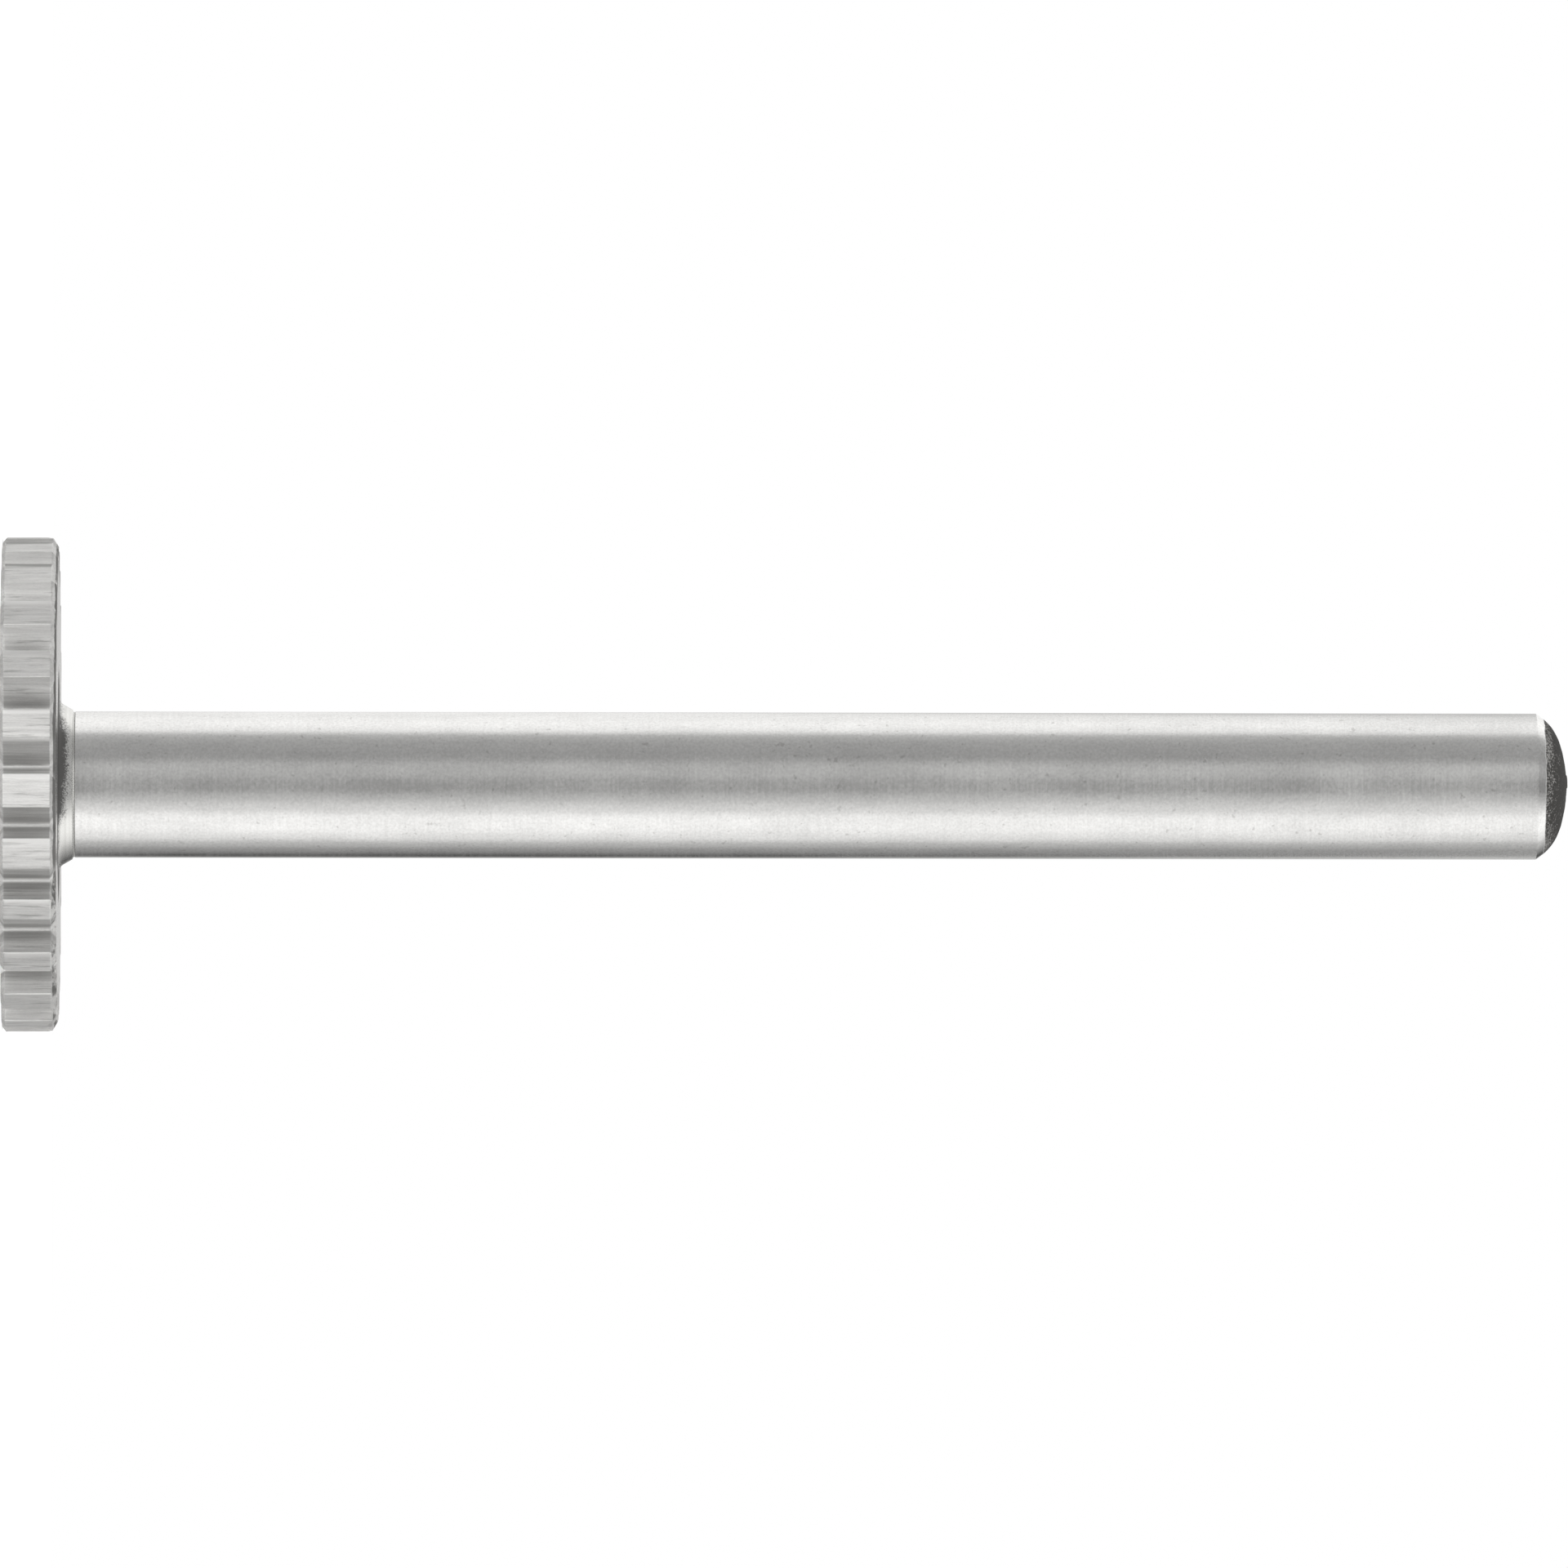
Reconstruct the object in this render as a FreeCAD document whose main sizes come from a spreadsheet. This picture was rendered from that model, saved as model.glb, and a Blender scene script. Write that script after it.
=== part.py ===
import FreeCAD, Part
import math
import os

import Sketcher

# Rotary burr: a toothed disc head, a short cone neck and a round shank, cut from one steel bar.
# It stands on its head. Z runs up the shank, and the origin is the centre of the head's front face.

NODE = "disc_burr"

# Driving dimensions, in millimetres and degrees
SIZES = {
    # The disc, and the broken edges along its two toothed outlines
    "head_diameter": 20.35,
    "head_thickness": 2.3,
    "front_chamfer": 0.2,
    "back_chamfer": 0.28,
    # One tooth: a land behind the tip, a steep back, a rounded gullet and a rake face that leans back
    "tooth_count": 24,
    "tooth_phase": -2.5,
    "land_width": 1.29,
    "land_relief": 5,
    "gullet_depth": 1.13,
    "gullet_round": 0.12,
    "rake_lean": 12,
    # The cone behind the head, its fillet, and the fine groove where the ground shank begins
    "neck_length": 0.7,
    "neck_half_angle": 30,
    "neck_fillet": 0.4,
    "relief_width": 0.1,
    "relief_depth": 0.02,
    # The shank that a collet grips, its bevelled and domed end, and the pip left by parting off
    "shank_diameter": 6,
    "shank_length": 60,
    "end_bevel": 0.25,
    "end_bevel_angle": 36,
    "dome_radius": 4.5,
    "pip_diameter": 0.54,
    "pip_height": 0.04,
    "pip_offset": 0.2,
}

# Points of a sketch's line, arc or circle, and the sketch's own origin and upright axis
START, END, CENTRE = range(1, 4)
ORIGIN = (-1, 1)
UP_AXIS = -2

# How far the gap's cutter reaches past the tips, where there is no metal
CUTTER_REACH = 0.5
# How deep the pip's foot starts under the top of the dome
PIP_ROOT = 0.15
# Edges this close to a face's height lie in that face
SAME = 1e-4


def radians(degrees):
    return math.radians(degrees)


def polar(radius, degrees):
    """The vector of this length at this angle in a sketch."""
    turn = radians(degrees)
    return FreeCAD.Vector(radius * math.cos(turn), radius * math.sin(turn), 0)


def make_sheet(doc):
    """Writes the driving dimensions into a sheet, one to a row, each with its alias."""
    sheet = doc.addObject("Spreadsheet::Sheet", "sizes")
    for row, (name, value) in enumerate(SIZES.items(), start=1):
        sheet.set(f"A{row}", name)
        sheet.set(f"B{row}", str(value))
        sheet.setAlias(f"B{row}", name)
    doc.recompute()
    return sheet


def origin_part(body, role):
    """One of the body's own origin planes or axes."""
    return next(part for part in body.Origin.OriginFeatures if part.Role == role)


def sketch_on(body, role, name):
    sketch = body.newObject("Sketcher::SketchObject", name)
    sketch.AttachmentSupport = [(origin_part(body, role), "")]
    sketch.MapMode = "FlatFace"
    return sketch


def line(sketch, start, end):
    return sketch.addGeometry(Part.LineSegment(start, end), False)


def circle(centre, radius):
    return Part.Circle(centre, FreeCAD.Vector(0, 0, 1), radius)


def arc(sketch, centre, radius, start, end):
    """An arc that runs anticlockwise from the start point to the end point."""
    whole = circle(centre, radius)
    return sketch.addGeometry(Part.ArcOfCircle(whole, whole.parameter(start), whole.parameter(end)), False)


def fix(sketch, kind, *where):
    sketch.addConstraint(Sketcher.Constraint(kind, *where))


def join(sketch, *corners):
    """Makes each pair of points one point. A corner is a line, its end, another line and its end."""
    for corner in corners:
        fix(sketch, "Coincident", *corner)


def bind(sketch, name, formula, kind, *where):
    """A named dimension of a sketch, worked out from the sheet."""
    value = float(sketch.evalExpression(formula))
    if kind == "Angle":
        value = radians(value)
    index = sketch.addConstraint(Sketcher.Constraint(kind, *where, value))
    sketch.renameConstraint(index, name)
    sketch.setExpression(f"Constraints.{name}", formula)


def turn_blank(body, size):
    """The bar as the lathe leaves it: head, filleted cone neck, shank, bevel and domed end."""
    sketch = sketch_on(body, "XZ_Plane", "BlankProfile")
    head = size.head_diameter / 2
    shank = size.shank_diameter / 2
    lean = radians(size.neck_half_angle)
    shank_low = size.head_thickness + size.neck_length
    shank_top = shank_low + size.shank_length
    dome_rim = shank - size.end_bevel
    rim_height = shank_top + size.end_bevel / math.tan(radians(size.end_bevel_angle))
    dome_centre = rim_height - math.sqrt(size.dome_radius**2 - dome_rim**2)
    cone_foot = shank + size.neck_length * math.tan(lean)
    # The fillet takes this much off the back face, and as much off the cone
    taken = size.neck_fillet * math.tan((math.pi / 2 - lean) / 2)

    def point(radius, height):
        return FreeCAD.Vector(radius, height, 0)

    middle_low = point(0, 0)
    middle_top = point(0, dome_centre + size.dome_radius)
    head_front = point(head, 0)
    head_back = point(head, size.head_thickness)
    fillet_out = point(cone_foot + taken, size.head_thickness)
    fillet_in = point(cone_foot - taken * math.sin(lean), size.head_thickness + taken * math.cos(lean))
    fillet_centre = fillet_out + point(0, size.neck_fillet)
    shank_foot = point(shank, shank_low)
    shank_head = point(shank, shank_top)
    dome_foot = point(dome_rim, rim_height)

    front = line(sketch, middle_low, head_front)
    outer = line(sketch, head_front, head_back)
    back = line(sketch, head_back, fillet_out)
    fillet = arc(sketch, fillet_centre, size.neck_fillet, fillet_in, fillet_out)
    cone = line(sketch, fillet_in, shank_foot)
    side = line(sketch, shank_foot, shank_head)
    bevel = line(sketch, shank_head, dome_foot)
    dome = arc(sketch, point(0, dome_centre), size.dome_radius, dome_foot, middle_top)
    middle = line(sketch, middle_top, middle_low)

    join(
        sketch,
        (front, START, *ORIGIN),
        (front, END, outer, START),
        (outer, END, back, START),
        (cone, END, side, START),
        (side, END, bevel, START),
        (bevel, END, dome, START),
        (dome, END, middle, START),
        (middle, END, front, START),
    )
    fix(sketch, "Tangent", back, END, fillet, END)
    fix(sketch, "Tangent", fillet, START, cone, START)
    for level in (front, back):
        fix(sketch, "Horizontal", level)
    for upright in (outer, side, middle):
        fix(sketch, "Vertical", upright)
    fix(sketch, "PointOnObject", dome, CENTRE, UP_AXIS)

    bind(sketch, "head_radius", "sizes.head_diameter / 2", "DistanceX", *ORIGIN, front, END)
    bind(sketch, "head_height", "sizes.head_thickness", "DistanceY", outer, START, outer, END)
    bind(sketch, "fillet_radius", "sizes.neck_fillet", "Radius", fillet)
    bind(sketch, "neck_height", "sizes.neck_length", "DistanceY", back, START, side, START)
    bind(sketch, "neck_slope", "90 + sizes.neck_half_angle", "Angle", cone)
    bind(sketch, "shank_radius", "sizes.shank_diameter / 2", "DistanceX", *ORIGIN, side, START)
    bind(sketch, "shank_height", "sizes.shank_length", "DistanceY", side, START, side, END)
    bind(sketch, "bevel_depth", "sizes.end_bevel", "DistanceX", bevel, END, bevel, START)
    bind(sketch, "bevel_slope", "90 + sizes.end_bevel_angle", "Angle", bevel)
    bind(sketch, "dome_curve", "sizes.dome_radius", "Radius", dome)

    blank = body.newObject("PartDesign::Revolution", "Blank")
    blank.Profile = sketch
    blank.ReferenceAxis = (sketch, ["V_Axis"])
    blank.Angle = 360
    return blank


def relieve_neck(body, size):
    """A fine round-bottomed groove that lets the grinding wheel run out at the foot of the shank."""
    sketch = sketch_on(body, "XZ_Plane", "ReliefProfile")
    curve = (size.relief_width**2 / 4 + size.relief_depth**2) / (2 * size.relief_depth)
    across = size.shank_diameter / 2 - size.relief_depth + curve
    height = size.head_thickness + size.neck_length - size.relief_width / 2
    wheel = sketch.addGeometry(circle(FreeCAD.Vector(across, height, 0), curve), False)
    radius = "(sizes.relief_width ^ 2 / 4 + sizes.relief_depth ^ 2) / (2 * sizes.relief_depth)"
    place = f"sizes.shank_diameter / 2 - sizes.relief_depth + {radius}"
    level = "sizes.head_thickness + sizes.neck_length - sizes.relief_width / 2"
    bind(sketch, "wheel_radius", radius, "Radius", wheel)
    bind(sketch, "wheel_place", place, "DistanceX", *ORIGIN, wheel, CENTRE)
    bind(sketch, "wheel_level", level, "DistanceY", *ORIGIN, wheel, CENTRE)
    groove = body.newObject("PartDesign::Groove", "ReliefGroove")
    groove.Profile = sketch
    groove.ReferenceAxis = (sketch, ["V_Axis"])
    groove.Angle = 360
    return groove


def leave_pip(body, size):
    """The small pip on the dome, a little off its middle, where the bar was parted off."""
    sketch = sketch_on(body, "XY_Plane", "PipProfile")
    pip_edge = sketch.addGeometry(circle(FreeCAD.Vector(-size.pip_offset, 0, 0), size.pip_diameter / 2), False)
    fix(sketch, "PointOnObject", pip_edge, CENTRE, -1)
    bind(sketch, "pip_radius", "sizes.pip_diameter / 2", "Radius", pip_edge)
    bind(sketch, "pip_place", "sizes.pip_offset", "DistanceX", pip_edge, CENTRE, *ORIGIN)
    rim = "(sizes.shank_diameter / 2 - sizes.end_bevel)"
    apex = (
        "sizes.head_thickness + sizes.neck_length + sizes.shank_length"
        " + sizes.end_bevel / tan(sizes.end_bevel_angle)"
        f" + sizes.dome_radius - sqrt(sizes.dome_radius ^ 2 - {rim} ^ 2)"
    )
    sketch.setExpression("AttachmentOffset.Base.z", f"{apex} - {PIP_ROOT}")
    pip = body.newObject("PartDesign::Pad", "Pip")
    pip.Profile = sketch
    pip.setExpression("Length", f"sizes.pip_height + {PIP_ROOT}")
    return pip


def cut_gap(body, size):
    """One gap between two teeth: a land, the steep back behind it, the gullet and the next rake face."""
    sketch = sketch_on(body, "XY_Plane", "GapProfile")
    tip = size.head_diameter / 2
    root = tip - size.gullet_depth
    curve = size.gullet_round
    pitch = 360 / size.tooth_count
    land_turn = 90 + size.land_relief
    rake_turn = pitch + size.rake_lean
    reach = tip + CUTTER_REACH

    def meet_reach(start, way):
        """Where a line from this point meets the circle that the cutter reaches to."""
        along = start.dot(way)
        return start + way * (math.sqrt(along**2 + reach**2 - start.dot(start)) - along)

    this_tip = polar(tip, 0)
    next_tip = polar(tip, pitch)
    land_end = this_tip + polar(size.land_width, land_turn)
    # The gullet's centre lies its own radius off the rake face, and as far outside the root circle
    beside = next_tip + polar(curve, rake_turn - 90)
    outward = polar(1, rake_turn)
    along = beside.dot(outward)
    centre = beside - outward * (along - math.sqrt(along**2 - beside.dot(beside) + (root + curve) ** 2))
    rake_foot = centre + polar(curve, rake_turn + 90)
    # The tooth's back runs from the land's end to touch the gullet
    way = centre - land_end
    back_turn = math.degrees(math.atan2(way.y, way.x) + math.asin(curve / way.Length))
    back_foot = land_end + polar(math.sqrt(way.Length**2 - curve**2), back_turn)
    over_land = meet_reach(this_tip, polar(1, land_turn + 180))
    over_tip = meet_reach(next_tip, outward)

    land = line(sketch, over_land, land_end)
    back = line(sketch, land_end, back_foot)
    gullet = arc(sketch, centre, curve, rake_foot, back_foot)
    rake = line(sketch, rake_foot, over_tip)
    cover = arc(sketch, polar(0, 0), reach, over_land, over_tip)
    guides = (
        circle(polar(0, 0), tip),
        circle(polar(0, 0), root),
        Part.LineSegment(polar(0, 0), this_tip),
        Part.LineSegment(polar(0, 0), next_tip),
    )
    tip_circle, root_circle, this_ray, next_ray = [sketch.addGeometry(guide, True) for guide in guides]

    join(
        sketch,
        (land, END, back, START),
        (rake, END, cover, END),
        (cover, START, land, START),
        (cover, CENTRE, *ORIGIN),
        (tip_circle, CENTRE, *ORIGIN),
        (root_circle, CENTRE, *ORIGIN),
        (this_ray, START, *ORIGIN),
        (next_ray, START, *ORIGIN),
    )
    fix(sketch, "Tangent", back, END, gullet, END)
    fix(sketch, "Tangent", gullet, START, rake, START)
    fix(sketch, "Tangent", gullet, root_circle)
    fix(sketch, "Horizontal", this_ray)
    for ray, edge in ((this_ray, land), (next_ray, rake)):
        fix(sketch, "PointOnObject", ray, END, tip_circle)
        fix(sketch, "PointOnObject", ray, END, edge)

    bind(sketch, "tip_radius", "sizes.head_diameter / 2", "Radius", tip_circle)
    bind(sketch, "root_radius", "sizes.head_diameter / 2 - sizes.gullet_depth", "Radius", root_circle)
    bind(sketch, "cutter_radius", f"sizes.head_diameter / 2 + {CUTTER_REACH}", "Radius", cover)
    bind(sketch, "pitch_turn", "360 / sizes.tooth_count", "Angle", next_ray)
    bind(sketch, "land_turn", "90 + sizes.land_relief", "Angle", land)
    bind(sketch, "land_length", "sizes.land_width", "Distance", this_ray, END, land, END)
    bind(sketch, "gullet_radius", "sizes.gullet_round", "Radius", gullet)
    bind(sketch, "rake_turn", "360 / sizes.tooth_count + sizes.rake_lean", "Angle", rake)

    gap = body.newObject("PartDesign::Pocket", "ToothGap")
    gap.Profile = sketch
    gap.Type = "Length"
    gap.Reversed = True
    gap.setExpression("Length", "sizes.head_thickness")
    return gap


def repeat_gap(body, gap):
    """The same gap all the way round the head."""
    ring = body.newObject("PartDesign::PolarPattern", "ToothRing")
    ring.Originals = [gap]
    ring.Axis = (origin_part(body, "Z_Axis"), [""])
    ring.Angle = 360
    ring.setExpression("Occurrences", "sizes.tooth_count")
    body.Tip = ring
    return ring


def outline_at(shape, height):
    """Names of the edges round the toothed outline of the flat face at this height."""
    level = [f for f in shape.Faces if f.BoundBox.ZLength < SAME and abs(f.BoundBox.ZMin - height) < SAME]
    widest = max(level, key=lambda f: f.BoundBox.XLength)
    rim = widest.OuterWire.Edges
    return [f"Edge{i}" for i, edge in enumerate(shape.Edges, start=1) if any(edge.isSame(e) for e in rim)]


def break_outline(body, name, height, width):
    """Breaks the edge all along the toothed outline at this height."""
    base = body.Tip
    chamfer = body.newObject("PartDesign::Chamfer", name)
    chamfer.Base = (base, outline_at(base.Shape, height))
    chamfer.setExpression("Size", f"sizes.{width}")
    body.Tip = chamfer
    return chamfer


def check(doc, body):
    """Stops if any feature failed, or if the solid isn't whole and sound."""
    for thing in doc.Objects:
        for word in ("Invalid", "Error"):
            if word in thing.State:
                raise RuntimeError(f"{thing.Name}: {thing.State}")
    for thing in doc.Objects:
        if thing.isDerivedFrom("Sketcher::SketchObject") and not thing.FullyConstrained:
            raise RuntimeError(f"{thing.Name} isn't fully constrained")
    shape = body.Shape
    if shape.isNull() or not shape.isValid() or len(shape.Solids) != 1:
        raise RuntimeError(f"{body.Label} isn't one sound solid")


def main():
    doc = FreeCAD.newDocument("rotary_burr")
    size = make_sheet(doc)
    body = doc.addObject("PartDesign::Body", "Body")
    body.Label = NODE
    body.setExpression("Placement.Rotation.Angle", "sizes.tooth_phase")
    blank = turn_blank(body, size)
    groove = relieve_neck(body, size)
    pip = leave_pip(body, size)
    gap = cut_gap(body, size)
    ring = repeat_gap(body, gap)
    doc.recompute()
    front = break_outline(body, "FrontChamfer", 0, "front_chamfer")
    doc.recompute()
    back = break_outline(body, "BackChamfer", size.head_thickness, "back_chamfer")
    doc.recompute()
    check(doc, body)
    steps = [thing.Shape.Volume for thing in (blank, groove, pip, gap, ring, front, back)]
    print("volumes after each step, mm3:", [round(volume, 4) for volume in steps])
    print("box:", body.Shape.BoundBox)

    os.makedirs("parts", exist_ok=True)
    body.Shape.exportStep(f"parts/{NODE}.step")


main()
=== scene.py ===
import math

import bpy
from mathutils import Matrix, Vector, noise


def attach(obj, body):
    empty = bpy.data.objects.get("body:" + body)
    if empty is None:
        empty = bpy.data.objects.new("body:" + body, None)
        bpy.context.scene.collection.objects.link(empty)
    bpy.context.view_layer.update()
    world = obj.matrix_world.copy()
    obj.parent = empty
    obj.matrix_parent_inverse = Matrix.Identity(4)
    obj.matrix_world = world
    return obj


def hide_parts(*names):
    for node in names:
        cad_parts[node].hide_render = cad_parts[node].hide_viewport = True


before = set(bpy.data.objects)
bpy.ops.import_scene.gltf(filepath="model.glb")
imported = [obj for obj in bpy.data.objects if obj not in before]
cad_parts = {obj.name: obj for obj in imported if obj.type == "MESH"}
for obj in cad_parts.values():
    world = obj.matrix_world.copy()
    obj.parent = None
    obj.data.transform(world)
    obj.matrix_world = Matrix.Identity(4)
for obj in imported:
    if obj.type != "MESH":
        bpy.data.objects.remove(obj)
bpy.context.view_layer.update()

NODE = "disc_burr"
BODY = "root"

# Sizes of the tool in millimetres, and angles in degrees, as its drawing has them
MM = 0.001
TIP_RADIUS = 10.175
HEAD_THICKNESS = 2.3
TEETH = 24
PITCH = 360 / TEETH
TOOTH_PHASE = -2.5
FIRST_TOOTH = TOOTH_PHASE - 90
LAND_WIDTH = 1.29
LAND_TURN = 95
GULLET_RADIUS = 9.045
GULLET_ROUND = 0.12
RAKE_LEAN = 12
FRONT_CHAMFER = Vector((0.2, 0.16))
BACK_CHAMFER = Vector((0.34, 0.23))
SHANK_RADIUS = 3.0
SHANK_FOOT = 3.0
SHANK_LENGTH = 60
NECK_HALF_ANGLE = 30
NECK_FILLET = 0.4
RELIEF_WIDTH = 0.1
RELIEF_DEPTH = 0.02
END_BEVEL = 0.25
END_BEVEL_ANGLE = 36
DOME_RADIUS = 4.5
PIP_RADIUS = 0.27
PIP_HEIGHT = 0.04
PIP_OFFSET = 0.2

SHANK_TOP = SHANK_FOOT + SHANK_LENGTH
DOME_RIM = SHANK_RADIUS - END_BEVEL
DOME_FOOT = SHANK_TOP + END_BEVEL / math.tan(math.radians(END_BEVEL_ANGLE))

# Wear of tips, heels and chamfer edges. Heels are sharper on the teeth above the shank in the photograph
TIP_WEAR, EDGE_WEAR = 0.035, 0.035
HEEL_WEAR, SHARP_HEEL = 0.05, 0.015
# By tooth, counted from the one nearest the camera: how much wider its land is, and how worn its heel
SEEN_TEETH = {0: (0.08, 0.05), 1: (0.05, 0.15), 2: (-0.3, 0.1), 3: (-0.25, 0.05), TEETH - 1: (-0.03, 0.15)}
LAND_SPREAD = 0.12
# Two teeth are worn back near the back face: tooth and depth, then the height where it starts and how far
# it reaches to each side
CORNER_LOSSES = ((6, 0.09), (-6, 0.05))
LOSS_FOOT, LOSS_SPREAD = 1.84, 20
# Unevenness of the teeth: the depths of its waves and ripples, their cycles a millimetre, and how far into
# the metal it is set
WAVE_DEPTH, WAVE_CYCLES, RIPPLE_DEPTH, RIPPLE_CYCLES, SET_IN = 0.006, 2.2, 0.003, 6, 0.008
# The dark end: how much fuller it is than a plain dome, the depth of its scale and how far that is set in,
# and the widths of the soft borders of the pip and of the rim
DOME_FULLNESS, SCALE_DEPTH, SCALE_SET_IN = 0.4, 0.01, 0.012
PIP_BORDER, RIM_BORDER = 0.05, 0.2

# How finely each stretch of a tooth's outline is divided, and how many outline points meet one on the shank
LAND_STEPS, BACK_STEPS, GULLET_STEPS, RAKE_STEPS, CORNER_STEPS = 13, 10, 6, 7, 4
SHARE = 4
WIDTH_STEPS, EDGE_STEPS = 18, 4
FILLET_STEPS, RELIEF_STEPS, SHANK_STEPS = 10, 8, 30
# Radii of the rings across the faces and the dark end
FACE_RIM, FACE_BORDER = 8.2, 0.05
FRONT_RINGS = (6, 4, 2, 0.8, 0.3)
BACK_RINGS = (FACE_RIM, 6.5, 5.2, 4.4, 3.95)
DOME_STEP, DOME_INNER, DOME_INNER_STEP, DOME_INNER_RINGS = 0.075, 0.6, 0.04, 15
SHARP_ANGLE = 30

# Brightness of the tent by direction: degrees from the camera's side, towards +X
TENT_PANES = (
    (-180, 0.75), (-157, 1.07), (-111, 1.24), (-97, 1.14), (-84, 0.52), (-70, 0.41), (-46, 0.34),
    (-30, 0.46), (-18, 0.43), (-4, 0.29), (6, 0.28), (20, 0.5), (36, 0.84), (54, 1.29), (72, 1.29),
    (90, 1.07), (109, 0.58), (125, 0.31), (150, 0.05), (180, 0.75),
)
# The same for light from a little higher up and lower down, which the dull teeth catch too
SLOPING_PANES = (
    (-180, 0.7), (-110, 0.6), (-64, 0.42), (-44, 0.56), (-28, 1.29), (24, 1.29), (40, 0.55), (55, 0.26),
    (110, 0.3), (150, 0.34), (180, 0.7),
)
# Light from behind the tool and from steeply above it
BEHIND_LIGHT, ABOVE_LIGHT = (0.62, 0.617, 0.608), (0.95, 0.944, 0.93)

# Colours of the steel, from dull to bright, of dark marks and scale on it, and of painted light
# MILLED_BRIGHT is also painted as highlights on tips and gullet floors and a reflection on the back face
MILLED_DULL, MILLED_BRIGHT = (0.71, 0.708, 0.702), (0.97, 0.968, 0.96)
# The first is dark marks and painted gullet shade, the second painted shadow on the topmost tips
MILLED_MARK_AND_SHADE, PAINTED_TIP_SHADOW = (0.16, 0.158, 0.154), (0.2, 0.198, 0.194)
TURNED_DULL, TURNED_BRIGHT, CORNER_DARK = (0.62, 0.62, 0.605), (0.76, 0.76, 0.745), (0.055, 0.054, 0.052)
GROUND_DULL, GROUND_BRIGHT, SPECK = (0.67, 0.67, 0.667), (0.845, 0.845, 0.841), (0.40, 0.395, 0.385)
END_SCALE, END_SPECKLE = (0.034, 0.033, 0.0315), (0.19, 0.186, 0.18)

# Materials of the mesh, in the order of its slots
MILLED, TURNED, GROUND = range(3)


def polar(radius, degrees):
    """The point this far from the axis, this way round."""
    turn = math.radians(degrees)
    return Vector((radius * math.cos(turn), radius * math.sin(turn)))


def meet(p, along, q, across):
    """Where the line through p along one way meets the line through q along another."""
    gap = q - p
    return p + along * ((gap.x * across.y - gap.y * across.x) / (along.x * across.y - along.y * across.x))


def spread(start, end, steps):
    """Points from start to end, closer together near both, so that the shading stays flat between."""
    eased = [(1 - math.cos(math.pi * i / steps)) / 2 for i in range(steps + 1)]
    return [start.lerp(end, t) for t in eased]


def corner(before, point, after, wear, steps):
    """A worn corner: its points between the two straight sides that meet at the point."""
    start, end = point - before * wear, point + after * wear
    bend = []
    for i in range(steps + 1):
        t = i / steps
        bend.append(start.lerp(point, t).lerp(point.lerp(end, t), t))
    return bend


def tooth_outline(inset, land_width, heel_wear):
    """One tooth's outline, set back into the metal, from its worn tip to the rake face of the next."""
    tip, next_tip = polar(TIP_RADIUS, 0), polar(TIP_RADIUS, PITCH)
    land_way, rake_way = polar(1, LAND_TURN), polar(1, PITCH + RAKE_LEAN)
    heel = tip + land_way * land_width
    beside = next_tip + polar(GULLET_ROUND, PITCH + RAKE_LEAN - 90)
    along = beside.dot(rake_way)
    reach = math.sqrt(along**2 - beside.length_squared + (GULLET_RADIUS + GULLET_ROUND) ** 2)
    centre = beside - rake_way * (along - reach)
    way = centre - heel
    back_turn = math.degrees(math.atan2(way.y, way.x) + math.asin(GULLET_ROUND / way.length))
    back_way = polar(1, back_turn)

    # Each side moves into the metal, which lies to its left
    land_point = tip + polar(inset, LAND_TURN + 90)
    back_point = heel + polar(inset, back_turn + 90)
    rake_point = next_tip + polar(inset, PITCH + RAKE_LEAN + 90)
    turn_back = Matrix.Rotation(math.radians(-PITCH), 2)
    tip_now = meet(land_point, land_way, turn_back @ rake_point, turn_back @ rake_way)
    next_now = Matrix.Rotation(math.radians(PITCH), 2) @ tip_now
    heel_now = meet(land_point, land_way, back_point, back_way)
    curve = GULLET_ROUND + inset
    gullet = [
        centre + polar(curve, back_turn + 90 - (back_turn - PITCH - RAKE_LEAN) * i / GULLET_STEPS)
        for i in range(GULLET_STEPS + 1)
    ]
    tip_bend = corner(turn_back @ rake_way, tip_now, land_way, TIP_WEAR, CORNER_STEPS)
    heel_bend = corner(land_way, heel_now, back_way, heel_wear, CORNER_STEPS)
    points = tip_bend[:-1]
    points += spread(tip_bend[-1], heel_bend[0], LAND_STEPS)[:-1]
    points += heel_bend[:-1]
    points += spread(heel_bend[-1], gullet[0], BACK_STEPS)[:-1]
    points += gullet[:-1]
    points += spread(gullet[-1], next_now - rake_way * TIP_WEAR, RAKE_STEPS)[:-1]
    return points


def tooth_wear(k):
    """How much wider one tooth's land came out, and how worn its heel is."""
    heel_wear = SHARP_HEEL if k > TEETH / 2 else HEEL_WEAR
    return SEEN_TEETH.get(k, (LAND_SPREAD * noise.noise(Vector((k * 3.7, 2, 5))), heel_wear))


def corner_loss(way, height):
    """How far the teeth this way from the axis are worn back at this height."""
    rise = max(0, (height - LOSS_FOOT) / (HEAD_THICKNESS - LOSS_FOOT))
    reach = math.cos(math.radians(LOSS_SPREAD))
    loss = 0
    for k, most in CORNER_LOSSES:
        near = way.dot(polar(1, FIRST_TOOTH + k * PITCH))
        loss += most * rise * max(0, (near - reach) / (1 - reach))
    return loss


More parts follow.
